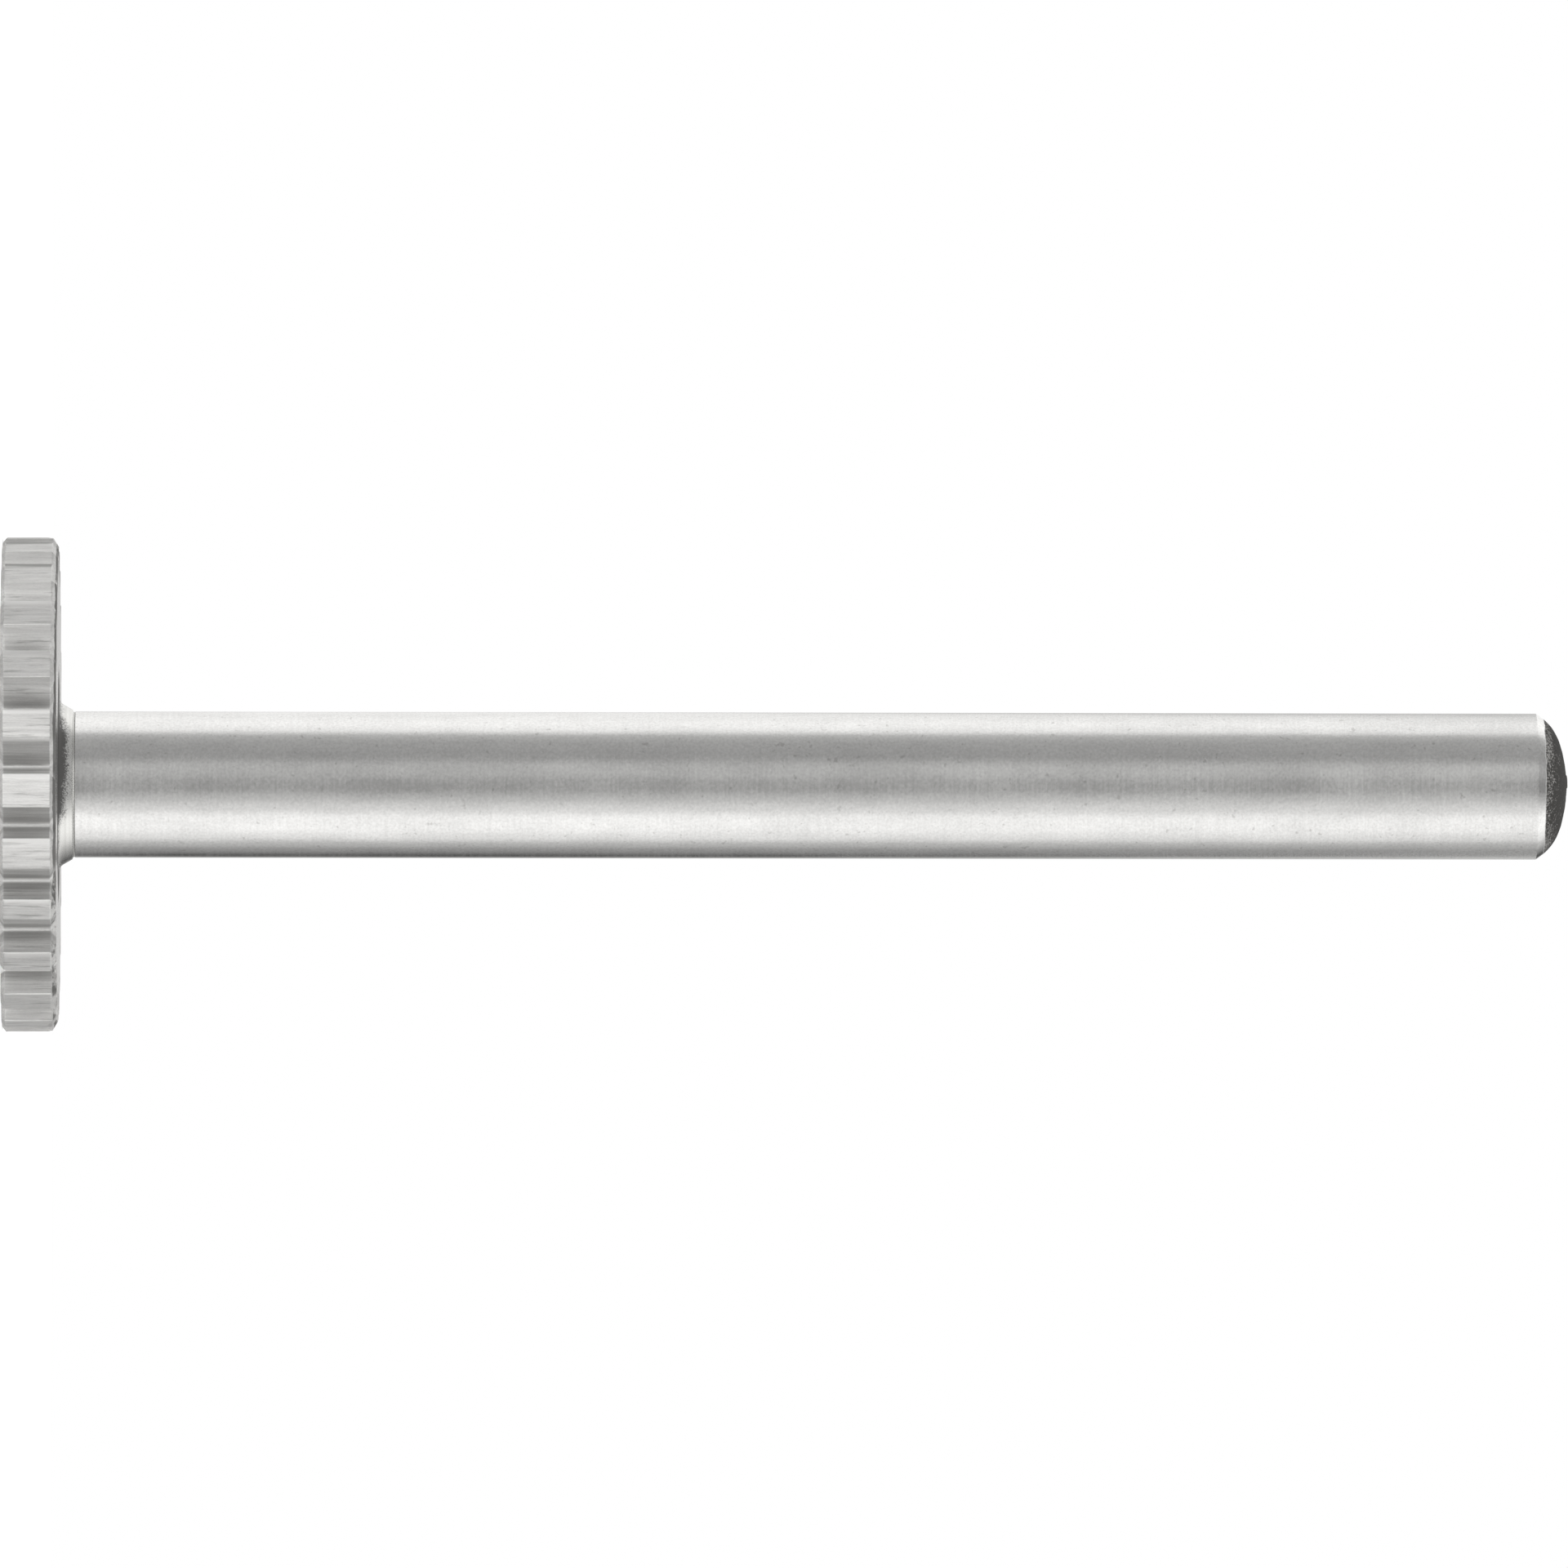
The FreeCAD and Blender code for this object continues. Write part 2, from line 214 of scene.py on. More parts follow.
def outline_ring(inset, height, tremble=1.0):
    """All the teeth at one height, with the slight unevenness that milling leaves."""
    ring = []
    for k in range(TEETH):
        wider, heel_wear = tooth_wear(k)
        tooth = tooth_outline(inset, LAND_WIDTH + wider, heel_wear)
        turn = Matrix.Rotation(math.radians(FIRST_TOOTH + k * PITCH), 2)
        for point in tooth:
            p = turn @ point
            waves = noise.noise(Vector((p.x * WAVE_CYCLES, p.y * WAVE_CYCLES, height * 0.5 + k * 7)))
            ripples = noise.noise(Vector((p.x * RIPPLE_CYCLES, p.y * RIPPLE_CYCLES, height * 1.4)))
            way = p.normalized()
            uneven = (WAVE_DEPTH * waves + RIPPLE_DEPTH * ripples - SET_IN) * tremble
            out = way * (uneven - corner_loss(way, height))
            ring.append(Vector((p.x + out.x, p.y + out.y, height)))
    return ring


def round_ring(radius, height, count):
    """A circle of points, which starts in line with the first tooth."""
    circle = [polar(radius, FIRST_TOOTH + 360 * i / count) for i in range(count)]
    return [Vector((p.x, p.y, height)) for p in circle]


def edge_rows(chamfer, face):
    """Inset and height of the rows across a chamfer with worn borders, from the teeth to the face."""
    up = 1 if face else -1
    foot, end = Vector((0, face - up * chamfer.y)), Vector((chamfer.x, face))
    way = (end - foot).normalized()
    rows = corner(Vector((0, up)), foot, way, EDGE_WEAR, EDGE_STEPS)
    return rows + corner(way, end, Vector((1, 0)), EDGE_WEAR, EDGE_STEPS)


def head_rows():
    """Inset and height of every row of the teeth, from the front face to the back face."""
    low, high = FRONT_CHAMFER.y + EDGE_WEAR, HEAD_THICKNESS - BACK_CHAMFER.y - EDGE_WEAR
    rows = edge_rows(FRONT_CHAMFER, 0)[::-1]
    rows += [Vector((0, low + (high - low) * i / WIDTH_STEPS)) for i in range(1, WIDTH_STEPS)]
    return rows + edge_rows(BACK_CHAMFER, HEAD_THICKNESS)


def relief_points(slope):
    """The fine groove at the neck's end, cut by a wheel, from the cone to the shank."""
    curve = (RELIEF_WIDTH**2 / 4 + RELIEF_DEPTH**2) / (2 * RELIEF_DEPTH)
    wheel = Vector((SHANK_RADIUS - RELIEF_DEPTH + curve, SHANK_FOOT - RELIEF_WIDTH / 2))
    foot = Vector((SHANK_RADIUS, SHANK_FOOT))
    # The groove starts where the wheel's circle crosses the cone, and ends where it crosses the shank
    back = (wheel - foot).dot(slope)
    off = (wheel - foot - slope * back).length
    start = foot + slope * (back - math.sqrt(curve**2 - off**2))
    first = math.degrees(math.atan2(start.y - wheel.y, start.x - wheel.x)) % 360
    last = 180 - math.degrees(math.acos((wheel.x - SHANK_RADIUS) / curve))
    last = last if last > 0 else last + 360
    groove = [
        wheel + polar(curve, first + (last - first) * i / RELIEF_STEPS) for i in range(RELIEF_STEPS + 1)
    ]
    return start, groove


def neck_profile():
    """Radius and height from the back face up the fillet and the cone to the ground shank."""
    lean = math.radians(NECK_HALF_ANGLE)
    cone_foot = SHANK_RADIUS + (SHANK_FOOT - HEAD_THICKNESS) * math.tan(lean)
    taken = NECK_FILLET * math.tan((math.pi / 2 - lean) / 2)
    middle = Vector((cone_foot + taken, HEAD_THICKNESS + NECK_FILLET))
    profile = [Vector((r, HEAD_THICKNESS)) for r in (*BACK_RINGS, middle.x + 0.04)]
    for i in range(FILLET_STEPS + 1):
        profile.append(middle + polar(NECK_FILLET, -90 - (90 - NECK_HALF_ANGLE) * i / FILLET_STEPS))
    start, groove = relief_points(Vector((-math.sin(lean), math.cos(lean))))
    # More rows near both ends of the cone keep its shading flat
    profile += [profile[-1].lerp(start, t) for t in (0.05, 0.35, 0.7, 0.95)]
    return profile + groove


def shank_profile():
    """Radius and height up the ground shank and across its bevel, nearly to the rim of the dome."""
    profile = [Vector((SHANK_RADIUS, SHANK_FOOT + rise)) for rise in (0.03, 0.3)]
    profile += [
        Vector((SHANK_RADIUS, SHANK_FOOT + SHANK_LENGTH * i / SHANK_STEPS)) for i in range(1, SHANK_STEPS)
    ]
    start, end = Vector((SHANK_RADIUS, SHANK_TOP)), Vector((DOME_RIM, DOME_FOOT))
    profile += [start - Vector((0, below)) for below in (0.36, 0.12, 0)]
    return profile + [start.lerp(end, t) for t in (0.6, 0.95)]


def dome_height(point):
    """Height of the dark end at this place, with its pip and its scaly unevenness."""
    off = point.length
    centre = DOME_FOOT - math.sqrt(DOME_RADIUS**2 - DOME_RIM**2)
    height = centre + math.sqrt(DOME_RADIUS**2 - off**2)
    share = (off / DOME_RIM) ** 3
    height += DOME_FULLNESS * share * (1 - share)
    from_pip = (point - Vector((-PIP_OFFSET, 0))).length
    edge = min(1, max(0, (PIP_RADIUS + 0.02 - from_pip) / PIP_BORDER))
    rim_fade = min(1, max(0, (DOME_RIM - off) / RIM_BORDER))
    coarse = noise.noise(Vector((point.x * 4, point.y * 4, 3)))
    fine = noise.noise(Vector((point.x * 11, point.y * 11, 8)))
    scale = SCALE_DEPTH * (coarse + 0.6 * fine) - SCALE_SET_IN
    return height + PIP_HEIGHT * edge + scale * rim_fade


def dome_radii():
    """Radii of the rings on the dark end, closer together near the pip."""
    rings, radius = [], DOME_RIM
    while radius > DOME_INNER + DOME_INNER_STEP / 2:
        rings.append(radius)
        radius -= DOME_STEP
    return rings + [DOME_INNER - DOME_INNER_STEP * i for i in range(DOME_INNER_RINGS)]


class Skin:
    """The mesh as it grows, ring by ring."""

    def __init__(self):
        self.points, self.faces, self.finish = [], [], []

    def add(self, ring):
        """Takes up the points of a ring and gives back their numbers."""
        first = len(self.points)
        self.points += ring
        return list(range(first, first + len(ring)))

    def face(self, corners, finish):
        """One face in one of the three materials."""
        self.faces.append(corners)
        self.finish.append(finish)

    def strip(self, low, high, finish):
        """Joins two rings of as many points."""
        count = len(low)
        for i in range(count):
            j = (i + 1) % count
            self.face((low[i], low[j], high[j], high[i]), finish)

    def fan(self, fine, coarse, finish, flip=False):
        """Joins a fine ring to one with a whole fraction of its points, in one plane."""
        share = len(fine) // len(coarse)
        middle = share // 2
        for i in range(len(coarse)):
            j = (i + 1) % len(coarse)
            run = [fine[(i * share + step) % len(fine)] for step in range(share + 1)]
            for step in range(share):
                hub = coarse[i] if step < middle else coarse[j]
                tri = (run[step], run[step + 1], hub)
                self.face(tri[::-1] if flip else tri, finish)
            tri = (coarse[i], run[middle], coarse[j])
            self.face(tri[::-1] if flip else tri, finish)

    def cap(self, ring, point, finish, flip=False):
        """Closes a ring with triangles to one point."""
        hub = self.add([point])[0]
        for i in range(len(ring)):
            tri = (ring[i], ring[(i + 1) % len(ring)], hub)
            self.face(tri[::-1] if flip else tri, finish)


def add_teeth(skin):
    """The toothed rim with the outer borders of both faces; gives back the inner edge of each border."""
    front = inner = skin.add(outline_ring(FRONT_CHAMFER.x + EDGE_WEAR + FACE_BORDER, 0, 0))
    for inset, height in head_rows():
        outer = skin.add(outline_ring(inset, height, 0 if height in (0, HEAD_THICKNESS) else 1))
        skin.strip(inner, outer, TURNED if inner is front else MILLED)
        inner = outer
    back = skin.add(outline_ring(BACK_CHAMFER.x + EDGE_WEAR + FACE_BORDER, HEAD_THICKNESS, 0))
    skin.strip(inner, back, TURNED)
    return front, back


def add_front_face(skin, front, count):
    """The flat front face, from the border of the teeth to its middle."""
    ring = skin.add(round_ring(FACE_RIM, 0, count))
    skin.fan(front, ring, TURNED, flip=True)
    for radius in FRONT_RINGS:
        inside = skin.add(round_ring(radius, 0, count))
        skin.strip(inside, ring, TURNED)
        ring = inside
    skin.cap(ring, Vector((0, 0, 0)), TURNED, flip=True)


def add_neck_and_shank(skin, back, count):
    """The back face, the neck, the shank and its bevel; gives back the last ring."""
    neck = neck_profile()
    ring = skin.add(round_ring(neck[0].x, neck[0].y, count))
    skin.fan(back, ring, TURNED)
    for finish, profile in ((TURNED, neck[1:]), (GROUND, shank_profile())):
        for radius, height in profile:
            upper = skin.add(round_ring(radius, height, count))
            skin.strip(ring, upper, finish)
            ring = upper
    return ring


def add_dark_end(skin, ring, count):
    """The domed end above the bevel, up to the middle of its top."""
    for radius in dome_radii():
        flat = round_ring(radius, 0, count)
        upper = skin.add([Vector((p.x, p.y, dome_height(p.xy))) for p in flat])
        skin.strip(ring, upper, GROUND)
        ring = upper
    skin.cap(ring, Vector((0, 0, dome_height(Vector((0, 0))))), GROUND)


def build_burr():
    """The whole tool as one closed skin, from the front face up to the pip."""
    skin = Skin()
    front, back = add_teeth(skin)
    count = len(back) // SHARE
    add_front_face(skin, front, count)
    ring = add_neck_and_shank(skin, back, count)
    add_dark_end(skin, ring, count)

    mesh = bpy.data.meshes.new("burr")
    mesh.from_pydata([p * MM for p in skin.points], [], skin.faces)
    mesh.polygons.foreach_set("material_index", skin.finish)
    mesh.polygons.foreach_set("use_smooth", [True] * len(skin.faces))
    mesh.set_sharp_from_angle(angle=math.radians(SHARP_ANGLE))
    mesh.update()
    burr = bpy.data.objects.new("burr", mesh)
    bpy.context.scene.collection.objects.link(burr)
    return burr


class Nodes:
    """Short way to write a material's or the world's nodes."""

    def __init__(self, tree):
        self.tree = tree
        tree.nodes.clear()

    def add(self, kind, inputs=None, **settings):
        """A node with its settings; an input is a value or another node's output."""
        node = self.tree.nodes.new(kind)
        for name, value in settings.items():
            setattr(node, name, value)
        for name, value in (inputs or {}).items():
            if isinstance(value, bpy.types.NodeSocket):
                self.tree.links.new(value, node.inputs[name])
            else:
                node.inputs[name].default_value = value
        return node

    def vector(self, operation, *values):
        return self.add("ShaderNodeVectorMath", dict(enumerate(values)), operation=operation).outputs

    def math(self, operation, *values):
        return self.add("ShaderNodeMath", dict(enumerate(values)), operation=operation).outputs[0]

    def plus(self, first, second):
        return self.math("ADD", first, second)

    def minus(self, first, second):
        return self.math("SUBTRACT", first, second)

    def times(self, first, second):
        return self.math("MULTIPLY", first, second)

    def larger(self, first, second):
        return self.math("MAXIMUM", first, second)

    def place(self):
        """A point's own place on the tool, in millimetres."""
        where = self.add("ShaderNodeTexCoord").outputs["Object"]
        return self.vector("MULTIPLY", where, (1000, 1000, 1000))[0]

    def split(self, vector):
        """A vector's X, Y and Z."""
        outputs = self.add("ShaderNodeSeparateXYZ", {0: vector}).outputs
        return outputs["X"], outputs["Y"], outputs["Z"]

    def radius(self, place):
        """How far from the tool's axis a place lies."""
        return self.vector("LENGTH", self.vector("MULTIPLY", place, (1, 1, 0))[0])["Value"]

    def stretch(self, place, across, along, shift=0.0):
        """The place stretched unevenly: so many cycles a millimetre across the axis and along it."""
        return self.vector("MULTIPLY_ADD", place, (across, across, along), (shift, shift, shift))[0]

    def noise(self, vector, detail=3.0, roughness=0.55):
        inputs = {"Vector": vector, "Scale": 1.0, "Detail": detail, "Roughness": roughness}
        return self.add("ShaderNodeTexNoise", inputs).outputs["Fac"]

    def remap(self, value, low, high, new_low, new_high, smooth=False):
        inputs = {"Value": value, "From Min": low, "From Max": high, "To Min": new_low, "To Max": new_high}
        kind = "SMOOTHSTEP" if smooth else "LINEAR"
        return self.add("ShaderNodeMapRange", inputs, interpolation_type=kind).outputs[0]

    def rise(self, value, start, full, most=1.0):
        """Nothing at the start and the most where it is full, with a soft way between."""
        return self.remap(value, start, full, 0.0, most, True)

    def swing(self, noise, least, most):
        """A noise's usual range, spread over these two values."""
        return self.remap(noise, 0.3, 0.7, least, most)

    def blend(self, fac, first, second):
        """Two colours or colour outputs mixed: the first at 0, the second at 1."""
        mix = self.add("ShaderNodeMix", {"Factor": fac}, data_type="RGBA")
        for name, colour in (("A", first), ("B", second)):
            socket = next(s for s in mix.inputs if s.name == name and s.type == "RGBA")
            if isinstance(colour, bpy.types.NodeSocket):
                self.tree.links.new(colour, socket)
            else:
                socket.default_value = (*colour, 1)
        return next(s for s in mix.outputs if s.type == "RGBA")

    def bump(self, height, depth, normal=None):
        """Fine relief in the shading alone, of this depth in millimetres."""
        inputs = {"Height": height, "Strength": 1.0, "Distance": depth * MM}
        if normal is not None:
            inputs["Normal"] = normal
        return self.add("ShaderNodeBump", inputs).outputs["Normal"]

    def steel(self, colour, roughness, normal, metallic=1.0):
        """The surface itself, joined to the material's output."""
        inputs = {"Base Color": colour, "Roughness": roughness, "Normal": normal, "Metallic": metallic}
        shader = self.add("ShaderNodeBsdfPrincipled", inputs)
        self.add("ShaderNodeOutputMaterial", {"Surface": shader.outputs[0]})
        return shader


def material(name):
    """A new material and the writer of its nodes."""
    made = bpy.data.materials.new(name)
    made.use_nodes = True
    return made, Nodes(made.node_tree)


def gullet_painted_shade(n, x, radius, lines):
    """Painted shade in gullets and on backs of teeth, less in those above the shank in the photograph."""
    depth = n.plus(radius, n.swing(lines, -0.06, 0.06))
    shallow = n.plus(depth, n.rise(x, -3.6, -5.2, 0.5))
    floor_starts, floor_ends = 9.06, 9.16
    deep = n.times(n.rise(shallow, 9.85, 9.2), n.rise(depth, floor_starts, floor_ends))
    gloom = n.remap(x, 0.0, 3.0, 0.25, 0.38, True)
    heel, below_heel = 10.122, 10.112
    below = n.plus(n.remap(radius, heel, below_heel, 0.0, 0.25), n.rise(depth, 9.92, 9.74, -0.15))
    return n.plus(n.times(deep, gloom), below)


def dark_back_edge(n, place, x, z):
    """A dark broken line along the back edge of the teeth, whole and wider beside the neck."""
    level = n.plus(z, n.swing(n.noise(n.stretch(place, 1.3, 1.3, 44.0)), -0.02, 0.02))
    blots = n.noise(n.stretch(place, 1.4, 1.4, 61.0), 4.0, 0.65)
    blots = n.plus(blots, n.remap(x, -1.0, 4.0, 0.12, 0.0))
    dark_line = n.remap(blots, 0.44, 0.58, 0.1, 0.9, True)
    widened = n.plus(level, n.rise(x, 3.0, 5.0, 0.1))
    dark_line = n.times(dark_line, n.rise(widened, 2.205, 2.225))
    beside_neck = n.rise(n.math("ABSOLUTE", x), 3.7, 3.2, 0.9)
    return n.larger(dark_line, n.times(beside_neck, n.rise(level, 2.175, 2.195)))


def milled_steel():
    """The teeth: fine wavy milling lines along the tool's axis, dull steel, painted shade in the gullets."""
    made, n = material("milled_steel")
    place = n.place()
    x, _, z = n.split(place)
    radius = n.radius(place)
    lines = n.noise(n.stretch(place, 8.0, 0.3), 5.0, 0.7)
    scratches = n.noise(n.stretch(place, 10.0, 0.5, 52.0), 3.0)
    broad = n.noise(n.stretch(place, 2.2, 0.25, 31.0), 2.0)
    grain = n.noise(n.stretch(place, 22.0, 9.0, 11.0), 2.0)
    shade = n.plus(n.remap(lines, 0.34, 0.68, 0.0, 0.9), n.swing(grain, -0.12, 0.12))
    steel = n.blend(shade, MILLED_DULL, MILLED_BRIGHT)
    # Dark marks: scratches and the dark back edge, with painted shade in the gullets and on backs of teeth
    marks_and_shade = n.larger(gullet_painted_shade(n, x, radius, lines), dark_back_edge(n, place, x, z))
    marks_and_shade = n.larger(marks_and_shade, n.rise(scratches, 0.55, 0.68, 0.4))
    colour = n.blend(marks_and_shade, steel, MILLED_MARK_AND_SHADE)

    # Painted highlights on the tips and on the floors of the lowest gullets, painted shadow on the top tips
    painted_tip_band = n.rise(radius, 10.14, 10.16)
    tip_highlight_and_shadow = n.blend(n.rise(x, -8.2, -9.0), MILLED_BRIGHT, PAINTED_TIP_SHADOW)
    colour = n.blend(n.times(painted_tip_band, 0.8), colour, tip_highlight_and_shadow)
    painted_floor_highlight = n.times(n.rise(radius, 9.22, 9.14), n.rise(x, 6.6, 7.2))
    painted_floor_highlight = n.times(painted_floor_highlight, n.rise(z, 2.08, 2.02))
    colour = n.blend(painted_floor_highlight, colour, MILLED_BRIGHT)
    painted_tips_and_floors = n.larger(painted_tip_band, painted_floor_highlight)
    rough = n.minus(n.swing(broad, 0.52, 0.6), n.times(painted_tips_and_floors, 0.2))
    n.steel(colour, rough, n.bump(lines, 0.01))
    return made


def dark_corner_patch(n, place, x, radius, grain):
    """A dark patch in the corner between head and neck, with a wandering edge; it reaches less far aside."""
    patches = n.noise(n.stretch(place, 1.1, 1.1, 5.0), 2.0)
    edge = n.plus(radius, n.plus(n.swing(patches, -0.06, 0.06), n.swing(grain, -0.09, 0.09)))
    aside = n.math("ABSOLUTE", n.plus(x, 0.5))
    edge = n.minus(edge, n.rise(aside, 1.5, 2.4, 0.25))
    edge = n.minus(edge, n.rise(x, 0.2, 1.0, 0.1))
    return n.times(n.rise(edge, 3.0, 3.26), n.rise(edge, 4.9, 4.1))


def turned_steel():
    """The head's faces and the neck: fine rings from the lathe, and a dark patch in the corner."""
    made, n = material("turned_steel")
    place = n.place()
    x, _, z = n.split(place)
    radius = n.radius(place)
    ring_cycles = 9.0
    turned = n.add("ShaderNodeCombineXYZ", {"X": n.times(radius, ring_cycles), "Y": n.times(z, ring_cycles)})
    rings = n.noise(turned.outputs[0], 3.0)
    grain = n.noise(n.stretch(place, 16.0, 16.0, 2.0), 2.0)
    steel = n.blend(n.swing(rings, 0.0, 1.0), TURNED_DULL, TURNED_BRIGHT)
    # A dark, dull and less metallic patch in the corner between head and neck
    scale = dark_corner_patch(n, place, x, radius, grain)
    # A painted reflection: the back face of the head is made lighter in colour, and less rough
    painted_back_reflection = n.times(n.rise(radius, 4.6, 5.2), n.remap(z, 2.2, 2.25, 0.0, 1.0))
    steel = n.blend(n.times(painted_back_reflection, 0.6), steel, MILLED_BRIGHT)
    colour = n.blend(scale, steel, CORNER_DARK)
    rough = n.plus(n.remap(scale, 0.0, 1.0, 0.26, 0.5), n.swing(grain, -0.03, 0.03))
    rough = n.minus(rough, n.times(painted_back_reflection, 0.14))
    metallic = n.remap(scale, 0.0, 1.0, 1.0, 0.2)
    n.steel(colour, rough, n.bump(n.plus(rings, grain), 0.002), metallic)
    return made


def end_scale(n, place, level, speckle):
    """Colour of the dark end: nearly black, with lighter specks that thin out towards the pip."""
    clump = n.noise(n.stretch(place, 1.2, 1.2, 3.0), 2.0)
    thin = n.remap(level, DOME_FOOT, DOME_FOOT + 0.6, 0.02, -0.16)
    bare = n.plus(n.plus(speckle, n.times(clump, 0.4)), thin)
    return n.blend(n.rise(bare, 0.68, 0.8), END_SCALE, END_SPECKLE)


def ground_steel():
    """The shank, ground all round, and the dark scaly end that was never ground."""
    made, n = material("ground_steel")
    place = n.place()
    _, _, z = n.split(place)
    rings = n.noise(n.stretch(place, 0.25, 11.0), 3.0, 0.6)
    grain = n.noise(n.stretch(place, 8.5, 8.5, 4.0), 2.0, 0.6)
    pits = n.noise(n.stretch(place, 3.4, 3.4, 17.0), 2.0)
    cloud = n.noise(n.stretch(place, 0.5, 0.25, 8.0), 2.0)
    smears = n.noise(n.stretch(place, 1.6, 0.45, 29.0), 3.0)
    shade = n.plus(n.swing(grain, 0.0, 0.65), n.swing(smears, 0.0, 0.35))
    steel = n.blend(shade, GROUND_DULL, GROUND_BRIGHT)
    steel = n.blend(n.remap(pits, 0.66, 0.74, 0.0, 0.45), steel, SPECK)

    wander = n.noise(n.stretch(place, 2.5, 2.5, 9.0), 3.0)
    level = n.plus(z, n.remap(wander, 0.2, 0.8, -0.03, 0.03))
    dark = n.rise(level, DOME_FOOT - 0.06, DOME_FOOT - 0.01)
    speckle = n.noise(n.stretch(place, 12.0, 12.0, 23.0), 2.0, 0.7)
    colour = n.blend(dark, steel, end_scale(n, place, level, speckle))
    ground_rough = n.plus(n.swing(cloud, 0.17, 0.21), n.swing(rings, -0.02, 0.02))
    end_rough = 0.75
    rough = n.plus(n.times(ground_rough, n.minus(1.0, dark)), n.times(dark, end_rough))
    metallic = n.remap(dark, 0.0, 1.0, 1.0, 0.0)
    height = n.plus(n.times(rings, 0.15), n.times(n.times(speckle, dark), 4.0))
    normal = n.bump(grain, 0.0016, n.bump(height, 0.004))
    shader = n.steel(colour, rough, normal, metallic)
    n.tree.links.new(n.remap(dark, 0.0, 1.0, 0.5, 0.1), shader.inputs["Specular IOR Level"])
    return made


def pane_ramp(n, place, panes):
    """Bands of light round the tool, each given by its direction and its brightness."""
    ramp = n.add("ShaderNodeValToRGB", {"Fac": place})
    ramp.color_ramp.interpolation = "EASE"
    stops = ramp.color_ramp.elements
    while len(stops) < len(panes):
        stops.new(0.5)
    for stop, (degrees, level) in zip(stops, panes):
        stop.position = degrees / 360 + 0.5
        stop.color = (level, level * 0.994, level * 0.98, 1)
    return ramp.outputs["Color"]


def tent_light(n):
    """The tent's brightness in every direction, as polished surfaces show it."""
    x, y, z = n.split(n.add("ShaderNodeTexCoord").outputs["Generated"])
    # Panes meet behind the tool, so that tilted surfaces show the same bands as the shank beside them
    from_behind = n.minus(1.0001, y)
    half_turn = n.math("ARCTAN2", x, from_behind)
    place = n.remap(half_turn, -math.pi / 2, math.pi / 2, 0.0, 1.0)
    bands = pane_ramp(n, place, TENT_PANES)
    sloping = pane_ramp(n, place, SLOPING_PANES)
    sloping = n.blend(n.rise(y, 0.2, 0.8), sloping, BEHIND_LIGHT)
    cosine = n.math("COSINE", half_turn)
    tilt = n.math("DIVIDE", z, cosine)
    aside = n.times(n.rise(n.math("ABSOLUTE", tilt), 0.09, 0.16), n.rise(tilt, 0.68, 0.58))
    aside = n.times(aside, n.remap(tilt, -0.95, -0.8, 0.5, 1.0, True))
    bands = n.blend(aside, bands, sloping)
    # Steep is the tangent of the tilt of the surface that shows this direction to the camera
    steep = n.math("DIVIDE", n.times(z, cosine), from_behind)
    above = n.times(n.rise(z, 0.5, 0.8), n.rise(steep, 0.9, 1.2))
    return n.blend(above, bands, ABOVE_LIGHT)


def make_world():
    """A light tent. Long panes of light stand round the tool, parallel to its axis."""
    world = bpy.data.worlds.new("tent")
    bpy.context.scene.world = world
    world.use_nodes = True
    n = Nodes(world.node_tree)
    rays = n.add("ShaderNodeLightPath")
    tent = n.blend(rays.outputs["Is Glossy Ray"], (0.9, 0.9, 0.9), tent_light(n))
    seen = n.blend(rays.outputs["Is Camera Ray"], tent, (1.0, 1.0, 1.0))
    light = n.add("ShaderNodeBackground", {"Color": seen, "Strength": 1.0})
    n.add("ShaderNodeOutputWorld", {"Surface": light.outputs[0]})


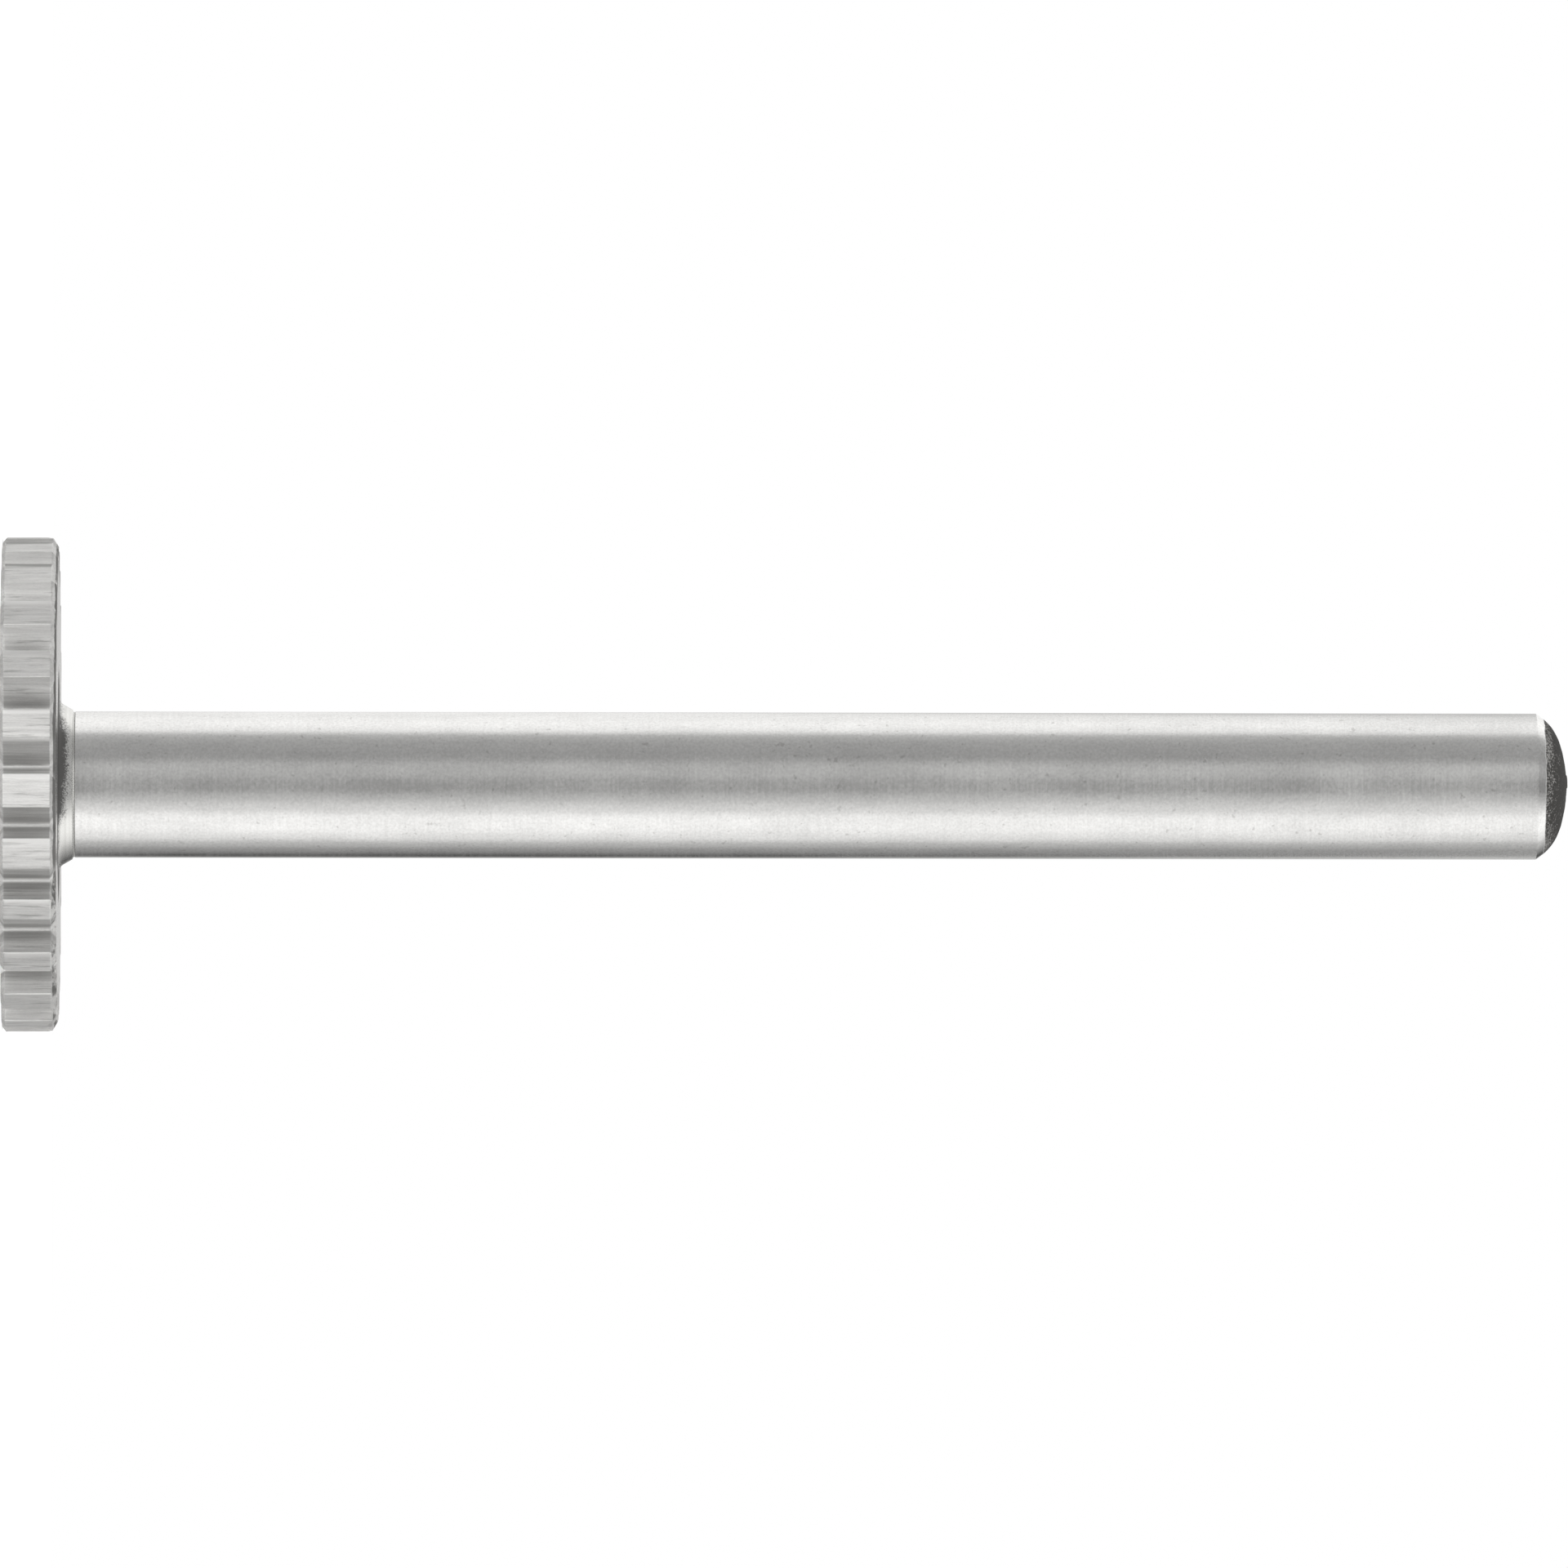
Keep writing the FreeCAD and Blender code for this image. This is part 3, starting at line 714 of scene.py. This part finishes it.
def make_floor():
    """A round pale table that the burr stands on."""
    radius, drop, points = 150 * MM, 0.00001, 96
    mesh = bpy.data.meshes.new("floor")
    ring = round_ring(radius, -drop, points)
    mesh.from_pydata(ring, [], [tuple(range(len(ring)))])
    floor = bpy.data.objects.new("floor", mesh)
    bpy.context.scene.collection.objects.link(floor)
    floor.visible_glossy = False
    made, n = material("pale_floor")
    rays = n.add("ShaderNodeLightPath")
    matt = n.add("ShaderNodeBsdfDiffuse", {"Color": (0.86, 0.86, 0.86, 1)})
    strength = n.times(rays.outputs["Is Camera Ray"], 0.3)
    glow = n.add("ShaderNodeEmission", {"Color": (1, 1, 1, 1), "Strength": strength})
    both = n.add("ShaderNodeAddShader", {0: matt.outputs[0], 1: glow.outputs[0]})
    n.add("ShaderNodeOutputMaterial", {"Surface": both.outputs[0]})
    mesh.materials.append(made)


def make_key_light():
    """A soft box in front of the tool and above it."""
    aim = Vector((0, 0, 0.02))
    rise, distance = math.radians(36), 0.7
    data = bpy.data.lights.new("soft_box", "AREA")
    data.shape = "DISK"
    data.size = 0.4
    data.energy = 4.0
    light = bpy.data.objects.new("soft_box", data)
    bpy.context.scene.collection.objects.link(light)
    away = Vector((0, -math.cos(rise), math.sin(rise)))
    light.location = aim + away * distance
    light.rotation_euler = away.to_track_quat("Z", "Y").to_euler()
    light.visible_glossy = False


def make_camera():
    """The photograph looks at the tool from the side, lying across the picture, head to the left."""
    # In pixels of the photograph: a millimetre, its width, where the front face and the eye lie along it,
    # and how far down the tool's axis crosses its middle. The axis also leans by a small angle
    scale, picture = 29.8, 1920
    front_at, eye_at = 3.5, 478
    axis_at_middle, axis_tilt = 961.96, 0.084
    distance = 1.02
    height = (eye_at - front_at) / scale * MM
    aim_height = (picture / 2 - front_at) / scale * MM
    offset = (picture / 2 - axis_at_middle) / scale * MM
    data = bpy.data.cameras.new("camera")
    camera = bpy.data.objects.new("camera", data)
    bpy.context.scene.collection.objects.link(camera)
    bpy.context.scene.camera = camera
    data.lens = data.sensor_width * distance / (picture / scale * MM)
    data.clip_start, data.clip_end = 0.05, 10
    eye = Vector((offset, -distance, height))
    forward = (Vector((offset, 0, aim_height)) - eye).normalized()
    tilt = math.radians(axis_tilt)
    up = Vector((-math.cos(tilt), 0, -math.sin(tilt)))
    right = forward.cross(up).normalized()
    up = right.cross(forward)
    camera.matrix_world = Matrix((
        (right.x, up.x, -forward.x, eye.x),
        (right.y, up.y, -forward.y, eye.y),
        (right.z, up.z, -forward.z, eye.z),
        (0, 0, 0, 1),
    ))


burr = build_burr()
for made in (milled_steel(), turned_steel(), ground_steel()):
    burr.data.materials.append(made)
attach(burr, BODY)
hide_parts(NODE)

make_world()
make_floor()
make_key_light()
make_camera()
bpy.context.scene.view_settings.view_transform = "Standard"
